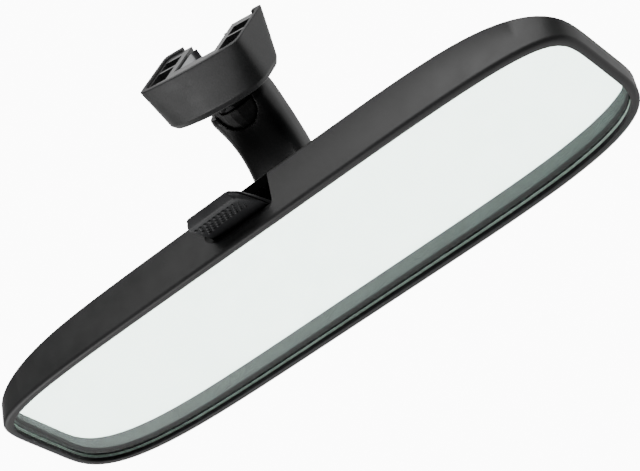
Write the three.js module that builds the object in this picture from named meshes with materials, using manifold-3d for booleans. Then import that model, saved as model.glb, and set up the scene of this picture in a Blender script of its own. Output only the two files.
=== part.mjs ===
// Interior rearview mirror: a day/night mirror head on a curved stay with a ball joint at each end,
// and a foot that slides over the button on the windshield.
// Millimetres, +Z up. The glass faces -Y, the windshield is on the +Y side, X runs along the glass.
import * as THREE from 'three';
import { mergeVertices } from 'three/addons/utils/BufferGeometryUtils.js';
import Module from 'manifold-3d';

const wasm = await Module();
wasm.setup();

// ---- Driving dimensions -------------------------------------------------------------------------

// Opening in the front of the housing, measured from its widest level.
const OPENING_HALF_LENGTH = 115.9;
const OPENING_TOP = 33.36;
const OPENING_BOTTOM = 24.73;
const WIDEST_LEVEL = -4.95;

// Housing shell.
const LIP_WIDTH = 2.8;
const LIP_THICKNESS = 1.6;
const EDGE_RADIUS = 2.5;
const WALL = 2.0;
const SIDE_DEPTH = 16.6;
const SIDE_DEPTH_LOSS = 10;
const BACK_RISE = 12;
const BACK_RISE_LOSS = 5.5;
const BACK_FULLNESS = 1.33;

// Glass, a wedge that is thicker at the top.
const GLASS_OVERLAP = 0.7;
const GLASS_FRONT = 1.8;
const GLASS_TOP_THICKNESS = 4.2;
const GLASS_BOTTOM_THICKNESS = 2.6;
const SILVER_THICKNESS = 0.4;

// Ball joints.
const BALL_RADIUS = 8.0;
const SEAT_INNER = 8.2;
const SEAT_OUTER = 9.6;
const POCKET_RADIUS = 10.0;
const SHANK_RADIUS = 3.4;
const STUD_RADIUS = 2.5;
const LOWER_BALL = new THREE.Vector3(0, 20.5, -3);

// Curved stay.
const ARC_START_Y = 32;
const ARC_RADIUS = 38.5;
const ARC_DEGREES = 62;

// Foot: leaned with the windshield and turned a little on its ball.
const FOOT_LEAN = 28.4;
const FOOT_TURN = -11.54;
const FOOT_BALL_DEPTH = 22;
const FOOT_BOW = 2.4;
const FOOT_WALL = 1.8;
const CARRIER_GAP = 0.45;
const BUTTON_SEAT_DEPTH = 6.5;
const BUTTON_SLOT_HALF_WIDTH = 9;

// Day/night mechanism.
const HINGE = { y: 14, z: -18, radius: 1.5 };
const LEVER_PIVOT = { y: 10.5, z: 22.5, radius: 1.25 };
const CRANK_LENGTH = 5;
const CRANK_REST_DEGREES = 15;

// ---- Solids -------------------------------------------------------------------------------------

const radians = THREE.MathUtils.degToRad;

// The same shape with one shared vertex at each corner.
function welded(geometry) {
  const bare = geometry.clone();
  bare.deleteAttribute('normal');
  bare.deleteAttribute('uv');
  return mergeVertices(bare, 1e-5);
}

function toSolid(geometry) {
  const merged = welded(geometry);
  return new wasm.Manifold(new wasm.Mesh({
    numProp: 3,
    vertProperties: new Float32Array(merged.attributes.position.array),
    triVerts: new Uint32Array(merged.index.array),
  }));
}

function toGeometry(solid) {
  const mesh = solid.getMesh();
  const geometry = new THREE.BufferGeometry();
  geometry.setAttribute('position', new THREE.BufferAttribute(mesh.vertProperties, 3));
  geometry.setIndex(new THREE.BufferAttribute(mesh.triVerts, 1));
  geometry.computeVertexNormals();
  return geometry;
}

function combine(base, { add = [], cut = [] }) {
  let solid = toSolid(base);
  for (const extra of add) solid = solid.add(toSolid(extra));
  for (const tool of cut) solid = solid.subtract(toSolid(tool));
  return toGeometry(solid);
}

function box([x0, x1], [y0, y1], [z0, z1]) {
  const geometry = new THREE.BoxGeometry(x1 - x0, y1 - y0, z1 - z0);
  return geometry.translate((x0 + x1) / 2, (y0 + y1) / 2, (z0 + z1) / 2);
}

// A round bar from one point to another, which may taper.
function bar(from, to, radius, { endRadius = radius, sides = 20 } = {}) {
  const axis = new THREE.Vector3().subVectors(to, from);
  const geometry = new THREE.CylinderGeometry(endRadius, radius, axis.length(), sides);
  const turn = new THREE.Quaternion().setFromUnitVectors(
    new THREE.Vector3(0, 1, 0), axis.clone().normalize());
  const middle = new THREE.Vector3().addVectors(from, to).multiplyScalar(0.5);
  return geometry.applyQuaternion(turn).translate(middle.x, middle.y, middle.z);
}

function ball(centre, radius, sides = 20) {
  const geometry = new THREE.SphereGeometry(radius, sides, sides / 2);
  return geometry.translate(centre.x, centre.y, centre.z);
}

// A ring between two spheres, from one angle off the +Y axis to another.
function sphericalSeat(inner, outer, fromDegrees, toDegrees, sides = 20) {
  const arcSteps = 4;
  const profilePoint = (radius, step) => {
    const degrees = fromDegrees + (toDegrees - fromDegrees) * step / arcSteps;
    const out = degrees === 180 ? 0 : radius * Math.sin(radians(degrees));
    return new THREE.Vector2(out, radius * Math.cos(radians(degrees)));
  };
  const profile = [];
  for (let step = arcSteps; step >= 0; step -= 1) profile.push(profilePoint(outer, step));
  for (let step = 0; step <= arcSteps; step += 1) profile.push(profilePoint(inner, step));
  if (toDegrees < 180) profile.push(profile[0].clone());
  return outward(new THREE.LatheGeometry(profile, sides));
}

// Turns the faces round where a mapping has left them pointing inwards.
function outward(source) {
  const geometry = welded(source);
  const position = geometry.attributes.position;
  const index = geometry.index;
  const corners = [new THREE.Vector3(), new THREE.Vector3(), new THREE.Vector3()];
  let volume = 0;
  for (let face = 0; face < index.count; face += 3) {
    corners.forEach((corner, side) => corner.fromBufferAttribute(position, index.getX(face + side)));
    volume += corners[0].dot(corners[1].clone().cross(corners[2]));
  }
  if (volume < 0) {
    for (let face = 0; face < index.count; face += 3) {
      const second = index.getX(face + 1);
      index.setX(face + 1, index.getX(face + 2));
      index.setX(face + 2, second);
    }
  }
  return geometry;
}

// A closed body through a row of sections. place(level, angle, radius) gives each point, where
// level counts the sections, angle runs round one, and radius is 0 at its centre and 1 at its edge.
function loft(levels, sides, place) {
  const geometry = new THREE.CylinderGeometry(1, 1, 1, sides, levels - 1);
  const position = geometry.attributes.position;
  for (let i = 0; i < position.count; i += 1) {
    const level = Math.round((0.5 - position.getY(i)) * (levels - 1));
    const radius = Math.hypot(position.getX(i), position.getZ(i));
    const angle = Math.atan2(position.getX(i), position.getZ(i));
    const point = place(level, angle, radius > 0.5 ? 1 : 0);
    position.setXYZ(i, point.x, point.y, point.z);
  }
  return outward(geometry);
}

// One coordinate of a superellipse: exponent 2 is round, higher is squarer.
function squared(value, exponent) {
  if (Math.abs(value) < 1e-6) return 0;
  return Math.sign(value) * Math.abs(value) ** (2 / exponent);
}

// ---- Head outline -------------------------------------------------------------------------------

// The head's outline in X and Z, grown outwards by margin: a nearly straight top with tight
// corners, and a fuller bottom that runs in a long curve to the ends.
function headOutline(angle, margin) {
  const across = Math.cos(angle);
  const up = Math.sin(angle);
  const top = up > 0;
  const height = (top ? OPENING_TOP : OPENING_BOTTOM) + margin;
  return {
    x: (OPENING_HALF_LENGTH + margin) * squared(across, top ? 5.36 : 4.89),
    z: WIDEST_LEVEL + height * squared(up, top ? 9.08 : 3.02),
  };
}

const OUTLINE_SIDES = 60;

function endFraction(x) {
  return Math.min(Math.abs(x) / 119, 1);
}

function sideDepth(x) {
  return SIDE_DEPTH - SIDE_DEPTH_LOSS * endFraction(x) ** 7;
}

function backRise(x) {
  return BACK_RISE - BACK_RISE_LOSS * endFraction(x) ** 2;
}

// A body with the head's outline that ends in a domed back: front is its front face, inset is how
// far it lies inside the outer surface, and round is the radius of its front edge.
function headBody(front, inset, round) {
  const full = LIP_WIDTH - inset;
  const frontSteps = round > 0 ? 3 : 0;
  const backSteps = 5;
  const levels = frontSteps + 2 + backSteps;
  return loft(levels, OUTLINE_SIDES, (level, angle, radius) => {
    if (level <= frontSteps) {
      const turn = frontSteps > 0 ? radians(90 * level / frontSteps) : Math.PI / 2;
      const edge = headOutline(angle, full - round * (1 - Math.sin(turn)));
      const y = front + round * (1 - Math.cos(turn));
      return new THREE.Vector3(edge.x * radius, y, edge.z * radius);
    }
    const turn = radians(84 * Math.max(level - frontSteps - 1, 0) / backSteps);
    const edge = headOutline(angle, full);
    const shrink = Math.cos(turn) ** BACK_FULLNESS * radius;
    const x = edge.x * shrink;
    const y = sideDepth(x) + backRise(x) * Math.sin(turn) ** BACK_FULLNESS - inset;
    return new THREE.Vector3(x, y, edge.z * shrink);
  });
}

function glassBody(front, back, margin) {
  return loft(2, OUTLINE_SIDES, (level, angle, radius) => {
    const edge = headOutline(angle, margin);
    const z = edge.z * radius;
    return new THREE.Vector3(edge.x * radius, level === 0 ? front(z) : back(z), z);
  });
}

function glassBack(z) {
  const share = (z + 30) / 60;
  return GLASS_FRONT + THREE.MathUtils.lerp(GLASS_BOTTOM_THICKNESS, GLASS_TOP_THICKNESS, share);
}

// ---- Scene graph --------------------------------------------------------------------------------

const footTurn = new THREE.Euler(radians(-FOOT_LEAN), 0, radians(FOOT_TURN), 'ZXY');
const footUp = new THREE.Vector3(0, 0, 1).applyEuler(footTurn);
const upperBall = new THREE.Vector3(
  0,
  ARC_START_Y + ARC_RADIUS * Math.sin(radians(ARC_DEGREES)),
  LOWER_BALL.z + ARC_RADIUS * (1 - Math.cos(radians(ARC_DEGREES))));
const footCentre = upperBall.clone().addScaledVector(footUp, FOOT_BALL_DEPTH);
const seatPoint = footCentre.clone().addScaledVector(footUp, -BUTTON_SEAT_DEPTH);

const mirror = new THREE.Group();
// Head and stay are drawn about the middle of the opening; the origin is the foot's button seat.
const head = new THREE.Group();
head.position.copy(seatPoint).negate();
mirror.add(head);
// The foot is drawn about the middle of its rim, with +Z towards the windshield.
const foot = new THREE.Group();
foot.position.copy(footCentre);
foot.rotation.copy(footTurn);
head.add(foot);

const materials = {
  grainedPlastic: { color: 0x1b1b1c, roughness: 0.55, metalness: 0 },
  smoothPlastic: { color: 0x141415, roughness: 0.4, metalness: 0 },
  nylon: { color: 0xd8d4c6, roughness: 0.5, metalness: 0 },
  steel: { color: 0xb4b6b8, roughness: 0.35, metalness: 1 },
  zinc: { color: 0x9b9ea0, roughness: 0.45, metalness: 1 },
  glass: { color: 0xdfeee4, roughness: 0.02, metalness: 0 },
  silver: { color: 0xe8ebea, roughness: 0.05, metalness: 1 },
  foam: { color: 0x2c2c2e, roughness: 0.95, metalness: 0 },
  rubber: { color: 0x202020, roughness: 0.85, metalness: 0 },
};

function piece(group, name, geometry, material) {
  const mesh = new THREE.Mesh(geometry, new THREE.MeshStandardMaterial(materials[material]));
  mesh.name = name;
  group.add(mesh);
  return mesh;
}

// ---- Foot ---------------------------------------------------------------------------------------

// The foot's outline at a depth below its rim: the front wall is bowed and drops straight, the
// back wall slants in, and the underside closes in a shallow keel round the ball.
const FOOT_SECTIONS = [
  { z: 0, half: 22, front: 12.5, back: 12.5, shape: 14, size: 1 },
  { z: -5.5, half: 21.8, front: 13, back: 10.1, shape: 9, size: 1 },
  { z: -11, half: 21.5, front: 13.5, back: 7.6, shape: 7, size: 1 },
  { z: -15, half: 21.2, front: 13.9, back: 5.6, shape: 6, size: 1 },
  { z: -16.8, half: 21, front: 13.9, back: 5, shape: 5, size: 0.96 },
  { z: -17.8, half: 21, front: 13.9, back: 5, shape: 4, size: 0.82 },
  { z: -18.4, half: 21, front: 13.9, back: 5, shape: 3, size: 0.6 },
];

function footPoint(section, angle, radius, inset) {
  const u = squared(Math.cos(angle), section.shape);
  const v = squared(Math.sin(angle), section.shape);
  const middle = (section.back - section.front) / 2;
  const half = (section.back + section.front) / 2 - inset;
  const bow = v < 0 ? FOOT_BOW * (1 - u * u) * v : 0;
  const size = section.size * radius;
  const y = (middle + half * v + bow) * size;
  return new THREE.Vector3((section.half - inset) * u * size, y, section.z);
}

function footLoft(sections, inset) {
  return loft(sections.length, 48, (level, angle, radius) =>
    footPoint(sections[level], angle, radius, inset));
}

function sectionAt(z) {
  const lower = FOOT_SECTIONS.findIndex((section) => section.z <= z);
  const b = FOOT_SECTIONS[Math.max(lower, 1)];
  const a = FOOT_SECTIONS[Math.max(lower, 1) - 1];
  const share = (z - a.z) / (b.z - a.z);
  const mix = (key) => THREE.MathUtils.lerp(a[key], b[key], share);
  return {
    z, half: mix('half'), front: mix('front'), back: mix('back'), shape: mix('shape'), size: 1,
  };
}

const SCREW_PLACES = [-15.2, 15.2];
const SCREW_ROW = -5.3;

// A round bar along a carrier screw's axis.
function screwBar(x, bottom, top, radius) {
  const at = (z) => new THREE.Vector3(x, SCREW_ROW, z);
  return bar(at(bottom), at(top), radius, { sides: 12 });
}

const POCKET_FLOOR = -10;
const FOOT_FLOOR = -13.5;
const REAR_GATE = { x: [-13.5, 17.5], floor: -7 };

function baseCover() {
  const inside = [sectionAt(0), sectionAt(-5.5), sectionAt(-11), sectionAt(FOOT_FLOOR)];
  inside[0].z = 1;
  return combine(footLoft(FOOT_SECTIONS, 0), {
    cut: [
      footLoft(inside, FOOT_WALL),
      box(REAR_GATE.x, [4, 16], [REAR_GATE.floor, 2]),
      ball(new THREE.Vector3(0, 0, -FOOT_BALL_DEPTH), BALL_RADIUS + 0.4),
      bar(new THREE.Vector3(0, 0, -16), new THREE.Vector3(0, 0, -13), STUD_RADIUS + 0.2),
      ...SCREW_PLACES.map((x) => screwBar(x, -16.4, -13, 1.1)),
    ],
  });
}

// The inner bracket that grips the windshield button: a dovetail slot open at the back, and a
// ribbed pocket on each side.
function baseCarrier() {
  const inset = FOOT_WALL + CARRIER_GAP;
  const sections = [sectionAt(-0.7), sectionAt(-6), sectionAt(-10), sectionAt(FOOT_FLOOR + 0.3)];
  return combine(footLoft(sections, inset), {
    cut: [
      box([-BUTTON_SLOT_HALF_WIDTH, BUTTON_SLOT_HALF_WIDTH], [-7, 16], [-BUTTON_SEAT_DEPTH, 2]),
      // Grooves along the slot's walls that the clips stand in, so that the seat between them is clear.
      box([-9, -7.8], [-7, 16], [-7, -5]),
      box([7.8, 9], [-7, 16], [-7, -5]),
      box([-9, -5.9], [3.8, 16], [-7, -5]),
      box([5.9, 9], [3.8, 16], [-7, -5]),
      box([-9, 9], [-7, -6.4], [-7, -5]),
      ...SCREW_PLACES.flatMap((x) => [
        box([x - 3.6, x + 3.6], [-9.4, -1.2], [POCKET_FLOOR, 2]),
        box([x - 3.6, x + 3.6], [0, 6], [POCKET_FLOOR, 2]),
      ]),
      box([-5.4, 5.4], [-5, 7], [-14, -8.6]),
      ...SCREW_PLACES.map((x) => screwBar(x, -14, -9, 1.25)),
    ],
  });
}

// A bent strip of spring steel that holds the button in the slot.
function buttonClip() {
  const outline = new THREE.Shape();
  outline.moveTo(8.6, -6);
  outline.lineTo(8.6, 4);
  outline.quadraticCurveTo(8.4, 6.4, 6.4, 7.4);
  outline.lineTo(6.1, 6.9);
  outline.quadraticCurveTo(7.8, 6.1, 8.0, 4);
  outline.lineTo(8.0, -6);
  outline.closePath();
  const strip = new THREE.ExtrudeGeometry(outline, {
    depth: 4.6, bevelEnabled: false, curveSegments: 6,
  });
  return strip.translate(0, 0, -BUTTON_SEAT_DEPTH + 0.4);
}

function upperBallStud() {
  const centre = new THREE.Vector3(0, 0, -FOOT_BALL_DEPTH);
  return combine(ball(centre, BALL_RADIUS), {
    add: [bar(centre, new THREE.Vector3(0, 0, -9.2), STUD_RADIUS)],
  });
}

function studNut() {
  const nut = new THREE.CylinderGeometry(4.6, 4.6, 3.4, 6).rotateY(Math.PI / 6).rotateX(Math.PI / 2);
  return combine(nut.translate(0, 0, -11.3), {
    cut: [bar(new THREE.Vector3(0, 0, -14), new THREE.Vector3(0, 0, -8), STUD_RADIUS + 0.15)],
  });
}

function carrierScrew(x) {
  return combine(screwBar(x, -16.2, POCKET_FLOOR + 0.5, 0.95), {
    add: [screwBar(x, POCKET_FLOOR + 0.15, POCKET_FLOOR + 1.7, 2.3)],
  });
}

piece(foot, 'base_cover', baseCover(), 'grainedPlastic');
piece(foot, 'base_carrier', baseCarrier(), 'smoothPlastic');
piece(foot, 'button_clip_right', buttonClip(), 'steel');
piece(foot, 'button_clip_left', outward(buttonClip().scale(-1, 1, 1)), 'steel');
piece(foot, 'upper_ball_stud', upperBallStud(), 'zinc');
piece(foot, 'ball_stud_nut', studNut(), 'steel');
piece(foot, 'carrier_screw_left', carrierScrew(SCREW_PLACES[0]), 'steel');
piece(foot, 'carrier_screw_right', carrierScrew(SCREW_PLACES[1]), 'steel');

const upperSeat = sphericalSeat(SEAT_INNER, SEAT_OUTER, 84, 130);
piece(foot, 'upper_ball_seat', upperSeat.rotateX(Math.PI / 2).translate(0, 0, -FOOT_BALL_DEPTH), 'nylon');

// ---- Stay ---------------------------------------------------------------------------------------

// Sections along the stay: degrees round its arc, half width across, and half thickness.
const ARM_SECTIONS = [
  { degrees: 1.5, across: 5.5, thick: 5.5 },
  { degrees: 5, across: 8.6, thick: 6.8 },
  { degrees: 10, across: 10.8, thick: 7.5 },
  { degrees: 18, across: 11.4, thick: 7.6 },
  { degrees: 28, across: 11.2, thick: 7.5 },
  { degrees: 38, across: 11.1, thick: 7.5 },
  { degrees: 48, across: 11.3, thick: 7.7 },
  { degrees: 56, across: 11.8, thick: 7.9 },
  { degrees: 61, across: 12.1, thick: 8 },
  { degrees: 64.5, across: 11.8, thick: 7.4 },
];

function armPoint(degrees) {
  const turn = radians(degrees);
  return new THREE.Vector3(0, ARC_START_Y + ARC_RADIUS * Math.sin(turn),
    LOWER_BALL.z + ARC_RADIUS * (1 - Math.cos(turn)));
}

const armEnd = new THREE.Vector3(0, Math.cos(radians(ARC_DEGREES)), Math.sin(radians(ARC_DEGREES)));

function arm() {
  const body = loft(ARM_SECTIONS.length, 32, (level, angle, radius) => {
    const section = ARM_SECTIONS[level];
    const turn = radians(section.degrees);
    const point = armPoint(section.degrees);
    const normal = new THREE.Vector3(0, -Math.sin(turn), Math.cos(turn));
    point.x += section.across * radius * squared(Math.cos(angle), 2.8);
    return point.addScaledVector(normal, section.thick * radius * squared(Math.sin(angle), 2.8));
  });
  const along = (distance) => upperBall.clone().addScaledVector(armEnd, distance);
  const shank = (y) => new THREE.Vector3(0, y, LOWER_BALL.z);
  return combine(body, {
    cut: [
      ball(upperBall, POCKET_RADIUS),
      bar(along(-15.9), along(0), 3.6),
      bar(shank(30), shank(46), SHANK_RADIUS + 0.1),
    ],
  });
}

function pressurePad() {
  const along = (distance) => upperBall.clone().addScaledVector(armEnd, distance);
  return combine(bar(along(-10.3), along(-7), 3.4), { cut: [ball(upperBall, SEAT_INNER)] });
}

class Helix extends THREE.Curve {
  constructor(radius, pitch, turns) {
    super();
    Object.assign(this, { radius, pitch, turns });
  }

  getPoint(share) {
    const angle = share * this.turns * 2 * Math.PI;
    return new THREE.Vector3(this.radius * Math.cos(angle), this.radius * Math.sin(angle),
      share * this.turns * this.pitch);
  }
}

function wireSection(radius, sides) {
  const points = Array.from({ length: sides }, (_, i) => new THREE.Vector2(
    radius * Math.cos(2 * Math.PI * i / sides), radius * Math.sin(2 * Math.PI * i / sides)));
  return new THREE.Shape(points);
}

function pressureSpring() {
  const coil = new THREE.ExtrudeGeometry(wireSection(0.45, 6), {
    steps: 48, bevelEnabled: false, extrudePath: new Helix(2.6, 1.1, 4),
  });
  const turn = new THREE.Quaternion().setFromUnitVectors(new THREE.Vector3(0, 0, 1), armEnd);
  const foot = upperBall.clone().addScaledVector(armEnd, -15.35);
  return outward(coil.applyQuaternion(turn).translate(foot.x, foot.y, foot.z));
}

function lowerBallStud() {
  return combine(ball(LOWER_BALL, BALL_RADIUS), {
    add: [bar(LOWER_BALL, new THREE.Vector3(0, 45, LOWER_BALL.z), SHANK_RADIUS)],
  });
}

piece(head, 'stay_arm', arm(), 'grainedPlastic');
piece(head, 'ball_pressure_pad', pressurePad(), 'nylon');
piece(head, 'pressure_spring', pressureSpring(), 'steel');
piece(head, 'lower_ball_stud', lowerBallStud(), 'zinc');

// ---- Ball socket and tilt bracket ---------------------------------------------------------------

const seatPlace = (geometry) => geometry.translate(LOWER_BALL.x, LOWER_BALL.y, LOWER_BALL.z);
piece(head, 'ball_seat_rear', seatPlace(sphericalSeat(SEAT_INNER, SEAT_OUTER, 48, 79)), 'nylon');
piece(head, 'ball_seat_front', seatPlace(sphericalSeat(SEAT_INNER, SEAT_OUTER, 103, 180)), 'nylon');

const SOCKET_WALL = 1.7;
const CLAMP_SPLIT = LOWER_BALL.y;
const CLAMP_FLANGE = 2;
const CLAMP_REACH = 14;
const clampAngles = [90, 210, 330];

function clampPlace(degrees, y) {
  return new THREE.Vector3(CLAMP_REACH * Math.cos(radians(degrees)), y,
    LOWER_BALL.z + CLAMP_REACH * Math.sin(radians(degrees)));
}

// A short round body along Y, centred on the lower ball's axis.
function disc(y0, y1, radius, sides = 24) {
  const at = (y) => new THREE.Vector3(0, y, LOWER_BALL.z);
  return bar(at(y0), at(y1), radius, { sides });
}

const PLATE = { y: [10, 12.4], x: [-22, 22], z: [-16, 12] };

function tiltBracket() {
  const knuckleX = [[-22, -17], [17, 22]];
  const front = LOWER_BALL.y - POCKET_RADIUS - 0.8;
  const crankY = LEVER_PIVOT.y + CRANK_LENGTH * Math.sin(radians(CRANK_REST_DEGREES));
  return combine(disc(front, CLAMP_SPLIT - 0.15, POCKET_RADIUS + SOCKET_WALL), {
    add: [
      disc(CLAMP_SPLIT - CLAMP_FLANGE, CLAMP_SPLIT - 0.15, 13),
      ...clampAngles.map((angle) => bar(clampPlace(angle, PLATE.y[0]),
        clampPlace(angle, CLAMP_SPLIT - 0.15), 3, { sides: 16 })),
      box(PLATE.x, PLATE.y, PLATE.z),
      ...knuckleX.map((x) => box(x, [PLATE.y[0], HINGE.y + 3], [HINGE.z - 3, HINGE.z + 4])),
      box([-8, 8], [PLATE.y[0], 14.6], [11, 18.6]),
    ],
    cut: [
      ball(LOWER_BALL, POCKET_RADIUS),
      bar(new THREE.Vector3(-30, HINGE.y, HINGE.z), new THREE.Vector3(30, HINGE.y, HINGE.z),
        HINGE.radius + 0.15, { sides: 16 }),
      box([-7, 7], [crankY - 1.9, crankY + 1.9], [14, 22]),
      ...clampAngles.map((angle) =>
        bar(clampPlace(angle, 12.5), clampPlace(angle, 22), 1.05, { sides: 10 })),
    ],
  });
}

function clampRing() {
  const rear = LOWER_BALL.y + POCKET_RADIUS * Math.cos(radians(46));
  return combine(disc(CLAMP_SPLIT + 0.15, rear, POCKET_RADIUS + SOCKET_WALL), {
    add: [
      disc(CLAMP_SPLIT + 0.15, CLAMP_SPLIT + CLAMP_FLANGE, 13),
      ...clampAngles.map((angle) => bar(clampPlace(angle, CLAMP_SPLIT + 0.15),
        clampPlace(angle, CLAMP_SPLIT + CLAMP_FLANGE), 3, { sides: 16 })),
    ],
    cut: [
      ball(LOWER_BALL, POCKET_RADIUS),
      ...clampAngles.map((angle) => bar(clampPlace(angle, 19), clampPlace(angle, 26), 1.3, { sides: 10 })),
    ],
  });
}

function clampScrew(angle) {
  const seat = CLAMP_SPLIT + CLAMP_FLANGE;
  return combine(bar(clampPlace(angle, 13.5), clampPlace(angle, seat + 0.4), 0.9, { sides: 10 }), {
    add: [bar(clampPlace(angle, seat + 0.1), clampPlace(angle, seat + 1.3), 2, { sides: 12 })],
  });
}

piece(head, 'tilt_bracket', tiltBracket(), 'smoothPlastic');
piece(head, 'socket_clamp_ring', clampRing(), 'zinc');
clampAngles.forEach((angle, i) => piece(head, `clamp_screw_${i + 1}`, clampScrew(angle), 'steel'));
const hingeEnds = [-31, 31].map((x) => new THREE.Vector3(x, HINGE.y, HINGE.z));
piece(head, 'hinge_pin', bar(hingeEnds[0], hingeEnds[1], HINGE.radius, { sides: 16 }), 'steel');

// ---- Housing ------------------------------------------------------------------------------------

const GATE_HALF_WIDTH = 13;
const REAR_HOLE_RADIUS = 13.6;
const GATE_Y = [7.8, 17.5];

function rearHousing() {
  const cavityFront = LIP_THICKNESS;
  const shell = toSolid(headBody(0, 0, EDGE_RADIUS));
  const cavity = toSolid(headBody(cavityFront, WALL, 0));
  const opening = toSolid(glassBody(() => -2, () => cavityFront + 1, 0));
  const dish = toSolid(new THREE.SphereGeometry(1, 48, 32).scale(50, 25, 25).translate(0, 9, 55));
  const hingeEars = [[-30.5, -27.5], [27.5, 30.5]].map((x) =>
    box(x, [HINGE.y - 3, 27.5], [HINGE.z - 3, HINGE.z + 3]));
  const leverEars = [[-19.5, -16.5], [16.5, 19.5]].map((x) =>
    box(x, [LEVER_PIVOT.y - 2.8, LEVER_PIVOT.y + 2.8], [LEVER_PIVOT.z - 2.8, 32]));
  let solid = shell.subtract(cavity).subtract(opening);
  for (const ear of [...hingeEars, ...leverEars]) solid = solid.add(toSolid(ear).intersect(shell));
  solid = solid.subtract(dish);
  const cuts = [
    box([-GATE_HALF_WIDTH, GATE_HALF_WIDTH], GATE_Y, [24, 40]),
    bar(new THREE.Vector3(0, 20, LOWER_BALL.z), new THREE.Vector3(0, 36, LOWER_BALL.z), REAR_HOLE_RADIUS),
    bar(new THREE.Vector3(-32, HINGE.y, HINGE.z), new THREE.Vector3(32, HINGE.y, HINGE.z),
      HINGE.radius + 0.1, { sides: 16 }),
    bar(new THREE.Vector3(-21, LEVER_PIVOT.y, LEVER_PIVOT.z),
      new THREE.Vector3(21, LEVER_PIVOT.y, LEVER_PIVOT.z), LEVER_PIVOT.radius + 0.1, { sides: 16 }),
  ];
  for (const tool of cuts) solid = solid.subtract(toSolid(tool));
  return toGeometry(solid);
}

piece(head, 'rear_housing', rearHousing(), 'grainedPlastic');
piece(head, 'prism_glass', glassBody(() => GLASS_FRONT, glassBack, GLASS_OVERLAP), 'glass');
piece(head, 'silver_backing', glassBody((z) => glassBack(z) + 0.05,
  (z) => glassBack(z) + 0.05 + SILVER_THICKNESS, GLASS_OVERLAP - 0.2), 'silver');

// ---- Lever --------------------------------------------------------------------------------------

const LEVER_HALF_WIDTH = 11;
const LEVER_TIP_HALF_WIDTH = 10.1;

// The lever's side profile, in Y and Z: a paddle that stands in the housing's notch, on a hub.
function leverProfile() {
  const outline = new THREE.Shape();
  outline.moveTo(8.6, 24);
  outline.lineTo(8.1, 32.6);
  outline.quadraticCurveTo(5.4, 33.2, 5.1, 36);
  outline.lineTo(3.9, 42.6);
  outline.quadraticCurveTo(3.9, 43.3, 4.4, 43.8);
  outline.lineTo(5.8, 45.2);
  outline.quadraticCurveTo(6.5, 45.5, 6.8, 44.8);
  outline.lineTo(9.3, 35.2);
  outline.lineTo(11.8, 25);
  outline.closePath();
  return outline;
}

function toggleLever() {
  const half = LEVER_HALF_WIDTH;
  const paddle = new THREE.ExtrudeGeometry(leverProfile(), {
    depth: 2 * half, bevelEnabled: false, curveSegments: 3, steps: 1,
  });
  // The profile's plane is turned from XY to YZ, and the width runs along X.
  paddle.applyMatrix4(new THREE.Matrix4().makeBasis(
    new THREE.Vector3(0, 1, 0), new THREE.Vector3(0, 0, 1), new THREE.Vector3(1, 0, 0)));
  paddle.translate(-half, 0, 0);
  const position = paddle.attributes.position;
  for (let i = 0; i < position.count; i += 1) {
    const rise = THREE.MathUtils.clamp((position.getZ(i) - 36) / 9, 0, 1);
    position.setX(i, position.getX(i) * THREE.MathUtils.lerp(1, LEVER_TIP_HALF_WIDTH / half, rise));
  }
  const pivot = (x) => new THREE.Vector3(x, LEVER_PIVOT.y, LEVER_PIVOT.z);
  const crankTurn = radians(CRANK_REST_DEGREES);
  const crank = (x) => new THREE.Vector3(x, LEVER_PIVOT.y + CRANK_LENGTH * Math.sin(crankTurn),
    LEVER_PIVOT.z - CRANK_LENGTH * Math.cos(crankTurn));
  return combine(paddle, {
    add: [
      bar(pivot(-15.5), pivot(15.5), 2.9, { sides: 20 }),
      bar(pivot(0), crank(0), 1.4, { sides: 12 }),
      bar(crank(-6), crank(6), 1.3, { sides: 12 }),
    ],
    cut: [bar(pivot(-20), pivot(20), LEVER_PIVOT.radius + 0.1, { sides: 16 })],
  });
}

const leverEnds = [-20, 20].map((x) => new THREE.Vector3(x, LEVER_PIVOT.y, LEVER_PIVOT.z));
piece(head, 'toggle_lever', toggleLever(), 'smoothPlastic');
piece(head, 'lever_pin', bar(leverEnds[0], leverEnds[1], LEVER_PIVOT.radius, { sides: 16 }), 'steel');

// ---- Small pieces in the head -------------------------------------------------------------------

// Foam strips that press the glass against the lip.
for (const [name, side] of [['foam_strip_left', -1], ['foam_strip_right', 1]]) {
  const strip = box([side * 68 - 24, side * 68 + 24], [0, 5], [-7, 7]);
  const position = strip.attributes.position;
  for (let i = 0; i < position.count; i += 1) {
    const start = glassBack(position.getZ(i)) + SILVER_THICKNESS + 0.15;
    position.setY(i, start + position.getY(i));
  }
  piece(head, name, strip, 'foam');
}

// Rubber stops that end the bracket's swing, fixed to the housing's back.
for (const [name, x] of [['bumper_left', -19], ['bumper_right', 19]]) {
  const post = bar(new THREE.Vector3(x, 13.2, 7), new THREE.Vector3(x, 24.6, 7), 2.6, { sides: 14 });
  piece(head, name, post, 'rubber');
}

export default mirror;
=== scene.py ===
"""Interior rearview mirror: looks, floor, light and camera. Metres, +Z up, in the row's frame."""
from math import atan2, cos, hypot, pi, radians, sin, sqrt
import bmesh
import bpy
from mathutils import Matrix, Vector


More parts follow.
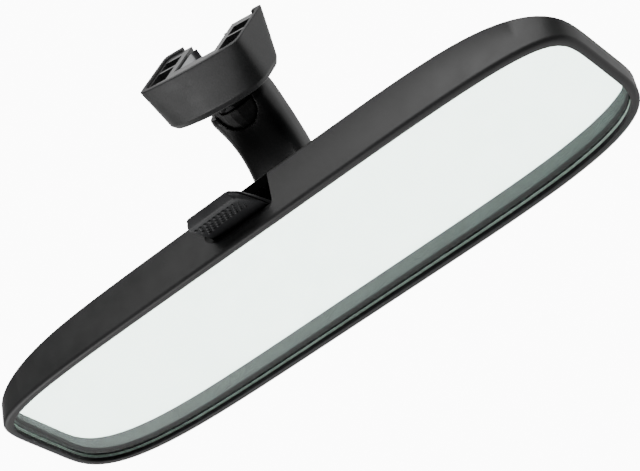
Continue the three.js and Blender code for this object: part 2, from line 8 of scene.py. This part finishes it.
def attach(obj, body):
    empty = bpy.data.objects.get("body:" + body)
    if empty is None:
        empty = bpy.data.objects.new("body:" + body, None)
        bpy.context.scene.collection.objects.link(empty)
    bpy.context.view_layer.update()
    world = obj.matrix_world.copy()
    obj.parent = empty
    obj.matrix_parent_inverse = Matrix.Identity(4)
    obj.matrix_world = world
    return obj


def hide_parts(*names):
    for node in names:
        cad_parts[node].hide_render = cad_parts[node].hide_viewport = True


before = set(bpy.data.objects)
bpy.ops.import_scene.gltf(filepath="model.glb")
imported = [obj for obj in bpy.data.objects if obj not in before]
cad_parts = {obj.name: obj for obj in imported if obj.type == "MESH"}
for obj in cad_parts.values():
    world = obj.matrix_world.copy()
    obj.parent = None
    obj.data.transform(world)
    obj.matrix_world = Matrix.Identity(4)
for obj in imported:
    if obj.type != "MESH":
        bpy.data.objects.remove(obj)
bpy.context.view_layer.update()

MM = 0.001

# The foot leans with the windshield and is turned a little on its ball.
FOOT_TURN = Matrix.Rotation(radians(-11.54), 4, "Z") @ Matrix.Rotation(radians(-28.4), 4, "X")
FOOT_UP = FOOT_TURN.to_3x3() @ Vector((0, 0, 1))
# The stay follows an arc that starts here, with the upper ball near its far end.
STAY_Y, STAY_Z = 32, -3
ARC_RADIUS = 38.5
ARC_TURN = radians(62)
UPPER_BALL = Vector((0, STAY_Y + ARC_RADIUS * sin(ARC_TURN), STAY_Z + ARC_RADIUS * (1 - cos(ARC_TURN))))
BALL_TO_SEAT = 15.5
SEAT_TO_RIM = 6.5

# Millimetres in the head's and the foot's own axes, brought to the row's frame.
HEAD = Matrix.Scale(MM, 4) @ Matrix.Translation(-(UPPER_BALL + FOOT_UP * BALL_TO_SEAT))
FOOT = Matrix.Scale(MM, 4) @ Matrix.Translation(FOOT_UP * SEAT_TO_RIM) @ FOOT_TURN


# ---- Mesh helpers --------------------------------------------------------------------------------

def make(name, points, faces, place):
    """A mesh object from points in millimetres, with its faces turned outwards."""
    mesh = bpy.data.meshes.new(name)
    mesh.from_pydata([place @ Vector(point) for point in points], [], faces)
    shape = bmesh.new()
    shape.from_mesh(mesh)
    bmesh.ops.recalc_face_normals(shape, faces=shape.faces)
    shape.to_mesh(mesh)
    shape.free()
    obj = bpy.data.objects.new(name, mesh)
    bpy.context.scene.collection.objects.link(obj)
    return obj


def skin(rings, wrap=False):
    """Points and faces of a skin over rings of equal length, closed at both ends or joined round."""
    count = len(rings[0])
    points = [point for ring in rings for point in ring]
    faces = []
    for level in range(len(rings) if wrap else len(rings) - 1):
        a = level * count
        b = (level + 1) % len(rings) * count
        for i in range(count):
            j = (i + 1) % count
            faces.append((a + i, a + j, b + j, b + i))
    if not wrap:
        faces.append(tuple(range(count)))
        faces.append(tuple(range(len(points) - count, len(points))))
    return points, faces


def power(value, exponent):
    """A cosine or sine bent so that a circle of them becomes squarer as exponent grows."""
    return abs(value) ** (2 / exponent) * (1 if value > 0 else -1)


def crowded(quarter, share, crowding):
    """The angle at a share of a quarter turn, in steps that crowd towards its ends."""
    return quarter * pi / 2 + atan2(share ** crowding, (1 - share) ** crowding)


def settle(obj):
    """Makes the result of obj's modifiers its mesh."""
    graph = bpy.context.evaluated_depsgraph_get()
    mesh = bpy.data.meshes.new_from_object(obj.evaluated_get(graph))
    obj.modifiers.clear()
    obj.data = mesh
    return obj


def carve(obj, *tools, how="DIFFERENCE"):
    for tool in tools:
        cut = obj.modifiers.new(tool.name, "BOOLEAN")
        cut.operation = how
        cut.solver = "EXACT"
        cut.object = tool
        settle(obj)
        bpy.data.objects.remove(tool)
    return obj


def block(x, y, z, place):
    corners = [(a, b, c) for a in x for b in y for c in z]
    faces = [(0, 1, 3, 2), (4, 6, 7, 5), (0, 4, 5, 1), (2, 3, 7, 6), (0, 2, 6, 4), (1, 5, 7, 3)]
    return make("block", corners, faces, place)


def rod(start, end, radius, place, sides=48):
    start, end = Vector(start), Vector(end)
    turn = (end - start).to_track_quat("Z", "Y")
    angles = [2 * pi * i / sides for i in range(sides)]
    rings = [[centre + turn @ Vector((radius * cos(angle), radius * sin(angle), 0)) for angle in angles]
             for centre in (start, end)]
    return make("rod", *skin(rings), place)


def globe(centre, radius, place, sides=64):
    rings = []
    for step in range(1, sides // 2):
        turn = 2 * pi * step / sides
        rings.append([(centre[0] + radius * sin(turn) * cos(2 * pi * i / sides),
                       centre[1] + radius * sin(turn) * sin(2 * pi * i / sides),
                       centre[2] + radius * cos(turn)) for i in range(sides)])
    return make("globe", *skin(rings), place)


def moulded(obj, grain, passes):
    """Rounds every edge of obj a little, as a mould leaves it."""
    remesh = obj.modifiers.new("even", "REMESH")
    remesh.mode = "VOXEL"
    remesh.voxel_size = grain * MM
    remesh.use_smooth_shade = True
    soften = obj.modifiers.new("soften", "SMOOTH")
    soften.factor = 0.5
    soften.iterations = passes
    return settle(obj)


def finish(obj, body, slot, *nodes, smooth=35):
    """Shades obj, and has it stand for its CAD nodes on their body."""
    for face in obj.data.polygons:
        face.use_smooth = True
    if smooth:
        obj.data.set_sharp_from_angle(angle=radians(smooth))
    obj.data.materials.clear()
    obj.data.materials.append(materials[slot])
    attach(obj, body)
    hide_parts(*nodes)
    return obj


# ---- Materials -----------------------------------------------------------------------------------

# Where in the noise a finish has its low and its high values.
DRIFT_LOW, DRIFT_HIGH = 0.3, 0.7


def surface(name, low, high, roughness, *, grain, depth, metal=0.0, coat=0.0, patches=120):
    """A finish whose colour and roughness drift from place to place, over a fine grain."""
    material = bpy.data.materials.new(name)
    material.use_nodes = True
    nodes, links = material.node_tree.nodes, material.node_tree.links
    shader = nodes["Principled BSDF"]
    shader.inputs["Metallic"].default_value = metal
    shader.inputs["Coat Weight"].default_value = coat
    shader.inputs["Coat Roughness"].default_value = 0.12
    shader.inputs["IOR"].default_value = 1.5
    place = nodes.new("ShaderNodeTexCoord")

    drift = nodes.new("ShaderNodeTexNoise")
    drift.inputs["Scale"].default_value = patches
    drift.inputs["Detail"].default_value = 4
    links.new(place.outputs["Object"], drift.inputs["Vector"])
    tone = nodes.new("ShaderNodeValToRGB")
    tone.color_ramp.elements[0].position = DRIFT_LOW
    tone.color_ramp.elements[0].color = (*low, 1)
    tone.color_ramp.elements[1].position = DRIFT_HIGH
    tone.color_ramp.elements[1].color = (*high, 1)
    links.new(drift.outputs["Fac"], tone.inputs["Fac"])
    links.new(tone.outputs["Color"], shader.inputs["Base Color"])
    wear = nodes.new("ShaderNodeMapRange")
    wear.inputs["From Min"].default_value = DRIFT_LOW
    wear.inputs["From Max"].default_value = DRIFT_HIGH
    wear.inputs["To Min"].default_value = roughness[0]
    wear.inputs["To Max"].default_value = roughness[1]
    links.new(drift.outputs["Fac"], wear.inputs["Value"])
    links.new(wear.outputs["Result"], shader.inputs["Roughness"])

    fine = nodes.new("ShaderNodeTexNoise")
    fine.inputs["Scale"].default_value = grain
    fine.inputs["Detail"].default_value = 3
    links.new(place.outputs["Object"], fine.inputs["Vector"])
    bump = nodes.new("ShaderNodeBump")
    bump.inputs["Strength"].default_value = 0.6
    bump.inputs["Distance"].default_value = depth * MM
    links.new(fine.outputs["Fac"], bump.inputs["Height"])
    links.new(bump.outputs["Normal"], shader.inputs["Normal"])
    return material


def glass_surface():
    material = surface("glass", (0.955, 0.99, 0.97), (0.97, 0.995, 0.98), (0.0, 0.0),
                       grain=300, depth=0.0002)
    nodes, links = material.node_tree.nodes, material.node_tree.links
    shader = nodes["Principled BSDF"]
    shader.inputs["Transmission Weight"].default_value = 1
    shader.inputs["IOR"].default_value = 1.52
    shader.inputs["Specular IOR Level"].default_value = 0.2
    # Light passes through to the ground edges.
    path = nodes.new("ShaderNodeLightPath")
    clear = nodes.new("ShaderNodeBsdfTransparent")
    clear.inputs["Color"].default_value = (0.90, 0.95, 0.92, 1)
    mix = nodes.new("ShaderNodeMixShader")
    links.new(path.outputs["Is Shadow Ray"], mix.inputs["Fac"])
    links.new(shader.outputs["BSDF"], mix.inputs[1])
    links.new(clear.outputs["BSDF"], mix.inputs[2])
    links.new(mix.outputs["Shader"], nodes["Material Output"].inputs["Surface"])
    return material


materials = {
    "housing_plastic": surface("housing_plastic", (0.026, 0.0265, 0.0265), (0.034, 0.0345, 0.0345),
                               (0.36, 0.46), grain=2600, depth=0.030),
    "foot_plastic": surface("foot_plastic", (0.042, 0.043, 0.044), (0.062, 0.063, 0.064),
                            (0.34, 0.46), grain=1700, depth=0.055),
    "stay_plastic": surface("stay_plastic", (0.012, 0.0125, 0.013), (0.018, 0.0185, 0.019),
                            (0.30, 0.40), grain=2400, depth=0.025),
    "lever_plastic": surface("lever_plastic", (0.045, 0.046, 0.048), (0.064, 0.065, 0.068),
                             (0.36, 0.48), grain=1900, depth=0.045),
    "inner_plastic": surface("inner_plastic", (0.055, 0.056, 0.058), (0.085, 0.086, 0.088),
                             (0.20, 0.32), grain=1300, depth=0.030, coat=0.5),
    "seat_nylon": surface("seat_nylon", (0.56, 0.53, 0.45), (0.66, 0.63, 0.55),
                          (0.40, 0.52), grain=1500, depth=0.02),
    "zinc": surface("zinc", (0.36, 0.37, 0.38), (0.50, 0.51, 0.52),
                    (0.32, 0.50), grain=900, depth=0.03, metal=1),
    "steel": surface("steel", (0.46, 0.47, 0.48), (0.62, 0.63, 0.64),
                     (0.22, 0.36), grain=1400, depth=0.015, metal=1),
    "glass": glass_surface(),
    "silver": surface("silver", (0.47, 0.525, 0.50), (0.495, 0.55, 0.525),
                      (0.0, 0.0), grain=200, depth=0.0001, metal=1),
    # A dark band on the film: a painted reflection of the housing's lip.
    "painted_lip_reflection": surface("painted_lip_reflection", (0.0040, 0.0085, 0.0070), (0.0060, 0.0115, 0.0100),
                             (0.12, 0.22), grain=900, depth=0.004, metal=1),
    "ground_edge": surface("ground_edge", (0.66, 0.80, 0.72), (0.80, 0.92, 0.85),
                           (0.30, 0.50), grain=2200, depth=0.02),
    "dark_nylon": surface("dark_nylon", (0.012, 0.012, 0.012), (0.020, 0.020, 0.020),
                          (0.42, 0.55), grain=1500, depth=0.02),
    "dark_steel": surface("dark_steel", (0.020, 0.020, 0.022), (0.034, 0.034, 0.036),
                          (0.34, 0.48), grain=1500, depth=0.02, metal=0.5),
    "foam": surface("foam", (0.016, 0.016, 0.017), (0.032, 0.032, 0.034),
                    (0.85, 0.98), grain=900, depth=0.30),
    "rubber": surface("rubber", (0.012, 0.012, 0.012), (0.022, 0.022, 0.022),
                      (0.68, 0.86), grain=1600, depth=0.06),
}

NODE_FINISH = {
    "base_cover": "foot_plastic", "base_carrier": "inner_plastic",
    "button_clip_right": "steel", "button_clip_left": "steel",
    "upper_ball_stud": "dark_steel", "ball_stud_nut": "steel",
    "carrier_screw_left": "steel", "carrier_screw_right": "steel", "upper_ball_seat": "dark_nylon",
    "stay_arm": "stay_plastic", "ball_pressure_pad": "seat_nylon", "pressure_spring": "steel",
    "lower_ball_stud": "zinc", "ball_seat_rear": "seat_nylon", "ball_seat_front": "seat_nylon",
    "tilt_bracket": "inner_plastic", "socket_clamp_ring": "zinc",
    "clamp_screw_1": "steel", "clamp_screw_2": "steel", "clamp_screw_3": "steel",
    "hinge_pin": "steel", "rear_housing": "housing_plastic", "prism_glass": "glass",
    "silver_backing": "silver", "toggle_lever": "lever_plastic", "lever_pin": "steel",
    "foam_strip_left": "foam", "foam_strip_right": "foam",
    "bumper_left": "rubber", "bumper_right": "rubber",
}
EDGE_WIDTH = 0.12
for node, finish_name in NODE_FINISH.items():
    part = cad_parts[node]
    part.data.materials.clear()
    part.data.materials.append(materials[finish_name])
    edge = part.modifiers.new("edge", "BEVEL")
    edge.width = EDGE_WIDTH * MM
    edge.segments = 2
    edge.limit_method = "ANGLE"
    edge.angle_limit = radians(40)


# ---- Head ----------------------------------------------------------------------------------------

# The outline's half length, and the height and the two squarenesses of its upper and lower parts,
# which meet at its widest level.
HALF_LENGTH = 115.9
UPPER_PART = (33.36, 5.36, 9.08)
LOWER_PART = (24.73, 4.89, 3.02)
WIDEST_LEVEL = -4.95

HOUSING_END = 119
DOME_SHAPE = 1.33
LIP = 2.8
LIP_RADIUS = 1.5
WALL = 2.0
GLASS_FRONT = 1.8
GLASS_AT_BOTTOM = 2.6
GLASS_GROWTH = 1.6


def head_outline(turn, margin):
    """X and Z of the head's outline, grown outwards by margin."""
    across, up = cos(turn), sin(turn)
    height, end_shape, edge_shape = UPPER_PART if up > 0 else LOWER_PART
    x = (HALF_LENGTH + margin) * power(across, end_shape)
    z = WIDEST_LEVEL + (height + margin) * power(up, edge_shape)
    return x, z


def even_turns(count):
    """Turns that step evenly along the outline."""
    quarter_steps = 600
    dense = [crowded(quarter, i / quarter_steps, 4.5) for quarter in range(4) for i in range(quarter_steps)]
    spots = [head_outline(turn, 1) for turn in dense]
    walked = [0]
    for i in range(len(spots)):
        a, b = spots[i], spots[(i + 1) % len(spots)]
        walked.append(walked[-1] + hypot(b[0] - a[0], b[1] - a[1]))
    turns, i = [], 0
    for step in range(count):
        goal = walked[-1] * step / count
        while walked[i + 1] < goal:
            i += 1
        share = (goal - walked[i]) / (walked[i + 1] - walked[i])
        following = dense[i + 1] if i + 1 < len(dense) else 2 * pi
        turns.append(dense[i] + (following - dense[i]) * share)
    return turns


TURNS = even_turns(240)


def outline_ring(margin, y):
    return [(x, y, z) for x, z in (head_outline(turn, margin) for turn in TURNS)]


def side_depth(x):
    """How deep the housing's side wall is, which grows shallow towards the ends."""
    return 16.6 - 10 * min(abs(x) / HOUSING_END, 1) ** 7


def dome_ring(degrees, inset):
    """A ring of the domed back, from the side wall at 0 degrees towards the middle at 90."""
    swell = sin(radians(degrees)) ** DOME_SHAPE
    shrink = cos(radians(degrees)) ** DOME_SHAPE
    ring = []
    for turn in TURNS:
        x, z = head_outline(turn, LIP - inset)
        x *= shrink
        rise = 12 - 5.5 * min(abs(x) / HOUSING_END, 1) ** 2
        ring.append((x, side_depth(x) + rise * swell - inset, z * shrink))
    return ring


def bend(margin, y, radius, steps):
    """Rings round a quarter circle that starts on the front face and ends on the side."""
    angles = [pi / 2 * i / steps for i in range(steps + 1)]
    return [outline_ring(margin + radius * sin(angle), y + radius * (1 - cos(angle))) for angle in angles]


def rear_housing():
    outside = [outline_ring(margin, y) for margin, y in ((0, 1.6), (0, 0.4), (0.1, 0.12), (0.35, 0))]
    outside += bend(LIP - LIP_RADIUS, 0, LIP_RADIUS, 6)
    domes = [0, 3, 7, 12, 18, 25, 32, 40, 48, 56, 63, 70, 76, 81, 85, 88]
    outside += [dome_ring(degrees, 0) for degrees in domes]
    inside = [dome_ring(degrees, WALL) for degrees in reversed(domes)]
    inside += [outline_ring(LIP - WALL, 1.6)]
    points, faces = skin(outside + inside, wrap=True)
    # The two smallest rings are closed over instead of joined to each other.
    count = len(TURNS)
    innermost = len(outside) - 1
    last = innermost * count
    faces = [face for face in faces
             if not (face[0] // count == innermost and face[3] // count == innermost + 1)]
    faces.append(tuple(range(last, last + count)))
    faces.append(tuple(range(last + count, last + 2 * count)))
    shell = make("housing_shell", points, faces, HEAD)

    recess = [(-13.6, 8.4), (-13.2, 7.4), (-11.5, 5.6), (-9, 4.3), (-5, 3.5), (2, 3.2), (9, 3.2),
              (12.4, 3.5), (13.8, 4.6), (14.2, 6.4)]
    rings = []
    for x, front in recess:
        rings.append([(x, front, 33), (x, front, 31.55), (x, front + 1.6, 30.7),
                      (x, max(front + 3, 6.9), 29.9), (x, 8.6, 28.2), (x, 8.8, 24),
                      (x, 17.5, 24), (x, 17.5, 33)])
    scoop = make("scoop", *skin(rings), HEAD)
    hole = rod((0, 19, -3), (0, 36, -3), 13.6, HEAD, sides=96)
    return carve(shell, scoop, hole)


finish(rear_housing(), "head", "housing_plastic", "rear_housing", smooth=28)


def glass_back(z):
    """The depth of the wedge's back face at a height."""
    return GLASS_FRONT + GLASS_AT_BOTTOM + GLASS_GROWTH * (z + 30) / 60


def prism_glass():
    """The wedge, with a small ground arris at its front and back edges."""
    rings = []
    for margin, share, shift in ((0.45, 0, 0), (0.7, 0, 0.25), (0.7, 1, -0.25), (0.45, 1, 0)):
        ring = []
        for x, _, z in outline_ring(margin, 0):
            ring.append((x, (glass_back(z) if share else GLASS_FRONT) + shift, z))
        rings.append(ring)
    return make("glass_wedge", *skin(rings), HEAD)


glass = finish(prism_glass(), "head", "glass", "prism_glass", smooth=20)
glass.data.materials.append(materials["ground_edge"])
for face in glass.data.polygons:
    if abs(face.normal.y) < 0.9:
        face.material_index = 1


def within(x, z, margin):
    """How far out a spot lies, where 1 is on the outline."""
    height, end_shape, edge_shape = UPPER_PART if z > WIDEST_LEVEL else LOWER_PART
    return ((abs(x) / (HALF_LENGTH + margin)) ** end_shape
            + (abs(z - WIDEST_LEVEL) / (height + margin)) ** edge_shape)


def silver_backing():
    """The silvered film, with a dark band painted round its clear middle as a painted reflection of the
    housing's lip, widest at the bottom and the left end.
    """
    clear_inset = 0.3
    clear = []
    for x, _, z in outline_ring(-clear_inset, 0):
        # The clear middle is shifted right and up, so that the painted lip reflection is widest at the
        # bottom and the left end.
        x, z = x + 5.6, z + 8.6
        size = 1.0
        while within(x * size, WIDEST_LEVEL + (z - WIDEST_LEVEL) * size, -clear_inset) > 1:
            size -= 0.004
        clear.append((x * size, WIDEST_LEVEL + (z - WIDEST_LEVEL) * size))
    rings = [[(x, glass_back(z) + 0.05, z) for x, z in clear]]
    for margin, depth in ((0.4, 0.05), (0.5, 0.3), (0.4, 0.45)):
        rings.append([(x, glass_back(z) + depth, z) for x, _, z in outline_ring(margin, 0)])
    rings.append([(x, glass_back(z) + 0.45, z) for x, z in clear])
    return make("silver_film", *skin(rings), HEAD)


silver = finish(silver_backing(), "head", "silver", "silver_backing", smooth=20)
silver.data.materials.append(materials["painted_lip_reflection"])
# The quad faces, the band round the clear middle, carry the painted lip reflection.
for face in silver.data.polygons:
    if len(face.vertices) == 4:
        face.material_index = 1


# ---- Lever ---------------------------------------------------------------------------------------

# Y and Z round the lever's side, up its front and down its back.
LEVER_SIDE = [(8.6, 24), (8.4, 28), (8.1, 31), (7.3, 33.2), (6.3, 35.2), (5.4, 37.4), (4.7, 39.6),
              (4.15, 41.6), (3.9, 42.7), (3.95, 43.2), (4.3, 43.7), (5.0, 44.4), (5.7, 45.1),
              (6.1, 45.35), (6.5, 45.2), (6.8, 44.7), (7.6, 41.6), (8.6, 37.9), (9.3, 35.2),
              (10.6, 30), (11.8, 25), (11.6, 24)]
TIP_LEVEL, TIP_RADIUS = 42.6, 2.9
LEVER_DISH = 0.9
BUMP_ROWS, BUMPS_PER_ROW = 5, 10
BUMP_RADIUS = 0.62
BUMP_STEP_X, BUMP_STEP_Z = 1.9, 1.6


def lever_half_width(z):
    width = 11 - 0.9 * min(max((z - 36) / 9, 0), 1)
    if z > TIP_LEVEL:
        width -= TIP_RADIUS * (1 - sqrt(max(1 - ((z - TIP_LEVEL) / TIP_RADIUS) ** 2, 0)))
    return width


def lever_front(z):
    """The depth of the lever's front face at a height."""
    for (y0, z0), (y1, z1) in zip(LEVER_SIDE, LEVER_SIDE[1:]):
        if z0 <= z <= z1:
            return y0 + (y1 - y0) * (z - z0) / (z1 - z0)
    return LEVER_SIDE[0][0]


def toggle_lever():
    shares = [-1, -0.985, -0.95, -0.9] + [i / 8 for i in range(-7, 8)] + [0.9, 0.95, 0.985, 1]
    rings = []
    for share in shares:
        # The paddle's rim is pulled in at both ends, so that its side edges are round.
        edge = max(abs(share) - 0.9, 0) / 0.1
        pull = 1 - sqrt(1 - edge ** 2)
        ring = []
        for y, z in LEVER_SIDE:
            middle = 8.6 - (z - 24) * 0.12
            dip = LEVER_DISH * (1 - min(abs(share), 1) ** 2) if y < middle and 33 < z < 41 else 0
            width = lever_half_width(z)
            drop = pull * (0.8 if z > 42 else 0)
            ring.append((share * width, y + (middle - y) * pull * 0.75 + dip, z - drop))
        rings.append(ring)
    lever = make("lever_paddle", *skin(rings), HEAD)
    pivot_y, pivot_z = 10.5, 22.5
    crank_length, crank_turn = 5, radians(15)
    crank = (pivot_y + crank_length * sin(crank_turn), pivot_z - crank_length * cos(crank_turn))
    hub_and_crank = [
        rod((-15.5, pivot_y, pivot_z), (15.5, pivot_y, pivot_z), 2.9, HEAD),
        rod((0, pivot_y, pivot_z), (0, *crank), 1.4, HEAD, sides=24),
        rod((-6, *crank), (6, *crank), 1.3, HEAD, sides=24),
    ]
    carve(lever, *hub_and_crank, how="UNION")
    carve(lever, rod((-20, pivot_y, pivot_z), (20, pivot_y, pivot_z), 1.35, HEAD))
    shape = bmesh.new()
    shape.from_mesh(lever.data)
    for row in range(BUMP_ROWS):
        z = 35.0 + row * BUMP_STEP_Z
        for column in range(BUMPS_PER_ROW):
            # Every other row is shifted, and the bumps grow smaller towards one side.
            x = -8.4 + column * BUMP_STEP_X + (BUMP_STEP_X / 2 if row % 2 else 0)
            size = BUMP_RADIUS if x < 3 else BUMP_RADIUS - 0.06 * (x - 3)
            if abs(x) > lever_half_width(z) - 1.4 or size < 0.3:
                continue
            dip = LEVER_DISH * (1 - (abs(x) / lever_half_width(z)) ** 2) if z < 41 else 0
            spot = HEAD @ Vector((x, lever_front(z) + dip, z))
            bmesh.ops.create_icosphere(shape, subdivisions=2, radius=size * MM,
                                       matrix=Matrix.Translation(spot))
    shape.to_mesh(lever.data)
    shape.free()
    return lever


finish(toggle_lever(), "lever", "lever_plastic", "toggle_lever", smooth=32)


# ---- Stay ----------------------------------------------------------------------------------------

# Degrees round the stay's arc, half width, half thickness.
ARM = [(1.5, 5.5, 5.5), (5, 8.6, 6.8), (10, 10.8, 7.5), (18, 11.4, 7.6), (28, 11.2, 7.5),
       (38, 11.1, 7.5), (48, 11.3, 7.7), (56, 11.8, 7.9), (61, 12.1, 8.0), (64.5, 11.8, 7.4)]
ARM_STEPS, ARM_SIDES = 42, 72
ARM_SQUARENESS = 3.1


def arm_section(degrees):
    for (d0, a0, t0), (d1, a1, t1) in zip(ARM, ARM[1:]):
        if d0 <= degrees <= d1:
            share = (degrees - d0) / (d1 - d0)
            return a0 + (a1 - a0) * share, t0 + (t1 - t0) * share
    return ARM[-1][1:]


def stay_arm():
    rings = []
    for step in range(ARM_STEPS + 1):
        degrees = 1.5 + 63 * step / ARM_STEPS
        across, thick = arm_section(degrees)
        turn = radians(degrees)
        centre = Vector((0, STAY_Y + ARC_RADIUS * sin(turn), STAY_Z + ARC_RADIUS * (1 - cos(turn))))
        normal = Vector((0, -sin(turn), cos(turn)))
        ring = []
        for i in range(ARM_SIDES):
            angle = 2 * pi * i / ARM_SIDES
            side = power(cos(angle), ARM_SQUARENESS)
            face = power(sin(angle), ARM_SQUARENESS)
            # The inner face is slightly hollow between two soft edges.
            hollow = 0.9 * (1 - min(abs(side) / 0.72, 1) ** 2) if face > 0 else 0
            point = centre + Vector((across * side, 0, 0)) + normal * (thick * face - hollow)
            ring.append(tuple(point))
        rings.append(ring)
    arm = make("arm_shell", *skin(rings), HEAD)
    end = Vector((0, cos(ARC_TURN), sin(ARC_TURN)))
    carve(arm, globe(UPPER_BALL, 10.0, HEAD),
          rod(UPPER_BALL - end * 15.9, UPPER_BALL, 3.6, HEAD),
          rod((0, 30, -3), (0, 46, -3), 3.5, HEAD))
    return moulded(arm, 0.32, 3)


finish(stay_arm(), "stay", "stay_plastic", "stay_arm", smooth=0)


# ---- Foot ----------------------------------------------------------------------------------------

# Depth below the rim, half width, front, back, squareness, size.
FOOT_LEVELS = [(0, 22, 12.5, 12.5, 14, 1), (-5.5, 21.8, 13, 10.1, 8.5, 1), (-11, 21.5, 13.5, 7.6, 6, 1),
               (-15, 21.2, 13.9, 5.6, 5, 1), (-16.8, 21, 13.9, 5, 4.4, 0.96),
               (-17.8, 21, 13.9, 5, 3.6, 0.82), (-18.4, 21, 13.9, 5, 3, 0.6),
               (-18.5, 21, 13.9, 5, 3, 0.15)]


def foot_level(z):
    for a, b in zip(FOOT_LEVELS, FOOT_LEVELS[1:]):
        if b[0] <= z <= a[0]:
            share = (a[0] - z) / (a[0] - b[0])
            return [u + (v - u) * share for u, v in zip(a, b)]
    return list(FOOT_LEVELS[0])


def foot_ring(z, inset=0.0, lift=0.0):
    _, half, front, back, shape, size = foot_level(z)
    quarter_steps = 40
    ring = []
    for i in range(4 * quarter_steps):
        angle = crowded(i // quarter_steps, i % quarter_steps / quarter_steps, 2.6)
        u = power(cos(angle), shape) if abs(cos(angle)) > 1e-9 else 0
        v = power(sin(angle), shape) if abs(sin(angle)) > 1e-9 else 0
        depth = (back + front) / 2 - inset
        bow = 2.4 * (1 - u * u) * v if v < 0 else 0
        ring.append(((half - inset) * u * size, ((back - front) / 2 + depth * v + bow) * size, z + lift))
    return ring


def base_cover():
    levels = [0, -2, -5.5, -8, -11, -13, -15, -16, -16.8, -17.3, -17.8, -18.1, -18.4, -18.5]
    shell = make("cover_shell", *skin([foot_ring(z) for z in levels]), FOOT)
    inside = [foot_ring(0, 1.8, 1.5)] + [foot_ring(z, 1.8) for z in (-2, -5.5, -8, -11, -13.5)]
    carve(shell, make("inside", *skin(inside), FOOT),
          block((-13.5, 17.5), (4, 16), (-7, 2), FOOT),
          globe((0, 0, -22), 8.4, FOOT),
          rod((0, 0, -16), (0, 0, -13), 2.7, FOOT),
          rod((-15.2, -5.3, -16.4), (-15.2, -5.3, -13), 1.1, FOOT, sides=24),
          rod((15.2, -5.3, -16.4), (15.2, -5.3, -13), 1.1, FOOT, sides=24))
    return moulded(shell, 0.26, 1)


finish(base_cover(), "windshield_foot", "foot_plastic", "base_cover", smooth=0)


# ---- Floor, light and camera ---------------------------------------------------------------------

REACH, FLOOR_LEVEL = 6000, -330
corners = [(-REACH, -REACH), (REACH, -REACH), (REACH, REACH), (-REACH, REACH)]
floor = make("floor", [(x, y, FLOOR_LEVEL) for x, y in corners], [(0, 1, 2, 3)], Matrix.Scale(MM, 4))
floor_material = surface("floor", (0.42, 0.42, 0.42), (0.44, 0.44, 0.44), (0.80, 0.90),
                         grain=60, depth=0.01, patches=1.2)
floor_shader = floor_material.node_tree.nodes["Principled BSDF"]
floor_shader.inputs["Emission Color"].default_value = (1, 1, 1, 1)
# The sweep is burnt out to the eye, and in the mirror, which is seen through four passes of the
# glass. What falls back on the object is softer, so both strengths go by the kind of ray.
nodes, links = floor_material.node_tree.nodes, floor_material.node_tree.links
path = nodes.new("ShaderNodeLightPath")
passes = nodes.new("ShaderNodeMath")
passes.operation = "GREATER_THAN"
passes.inputs[1].default_value = 3.5
links.new(path.outputs["Transmission Depth"], passes.inputs[0])
clear = nodes.new("ShaderNodeMath")
clear.operation = "MAXIMUM"
links.new(path.outputs["Is Camera Ray"], clear.inputs[0])
links.new(passes.outputs["Value"], clear.inputs[1])
sweep = nodes.new("ShaderNodeMapRange")
sweep.inputs["To Min"].default_value = 0.6
sweep.inputs["To Max"].default_value = 11
links.new(clear.outputs["Value"], sweep.inputs["Value"])
links.new(sweep.outputs["Result"], floor_shader.inputs["Emission Strength"])
floor.data.materials.append(floor_material)


def soft_box(name, spot, aim, size, watts):
    light = bpy.data.lights.new(name, "AREA")
    light.shape = "RECTANGLE"
    light.size, light.size_y = size
    light.energy = watts
    lamp = bpy.data.objects.new(name, light)
    lamp.location = spot
    lamp.rotation_euler = (Vector(spot) - Vector(aim)).to_track_quat("Z", "Y").to_euler()
    bpy.context.scene.collection.objects.link(lamp)


soft_box("top_light", (0.1, 0.9, 1.5), (0, 0, 0), (1.8, 1.4), 26)
soft_box("left_light", (-1.3, -1.3, 0.15), (0, 0, 0), (1.2, 0.9), 14)

# A pale room that is dark in front, where nothing lights the object.
world = bpy.data.worlds.new("room")
world.use_nodes = True
bpy.context.scene.world = world
nodes, links = world.node_tree.nodes, world.node_tree.links
background = nodes["Background"]
place = nodes.new("ShaderNodeTexCoord")
toward = nodes.new("ShaderNodeVectorMath")
toward.operation = "DOT_PRODUCT"
toward.inputs[1].default_value = Vector((0.45, -0.80, 0.40)).normalized()
links.new(place.outputs["Generated"], toward.inputs[0])
shade = nodes.new("ShaderNodeMapRange")
shade.interpolation_type = "SMOOTHSTEP"
shade.inputs["From Min"].default_value = 0.40
shade.inputs["From Max"].default_value = 0.72
shade.inputs["To Min"].default_value = 2.7
shade.inputs["To Max"].default_value = 0.10
links.new(toward.outputs["Value"], shade.inputs["Value"])
links.new(shade.outputs["Result"], background.inputs["Strength"])

# The camera looks down on the glass from its right, with the head tilted across the picture.
AIM = HEAD @ Vector((16.32, 0, 13.1))
AROUND, ABOVE, ROLL = radians(35.44), radians(40.95), radians(-59.72)
DISTANCE = 0.59138
back = Vector((sin(AROUND) * cos(ABOVE), -cos(AROUND) * cos(ABOVE), sin(ABOVE)))
right = (-back).cross(Vector((0, 0, 1))).normalized()
up = right.cross(-back)
right, up = right * cos(ROLL) + up * sin(ROLL), up * cos(ROLL) - right * sin(ROLL)
lens = bpy.data.cameras.new("camera")
lens.lens = 109.37
lens.sensor_width = 36
lens.dof.use_dof = False
camera = bpy.data.objects.new("camera", lens)
facing = Matrix((right, up, back)).transposed().to_4x4()
camera.matrix_world = Matrix.Translation(AIM + back * DISTANCE) @ facing
bpy.context.scene.collection.objects.link(camera)
bpy.context.scene.camera = camera
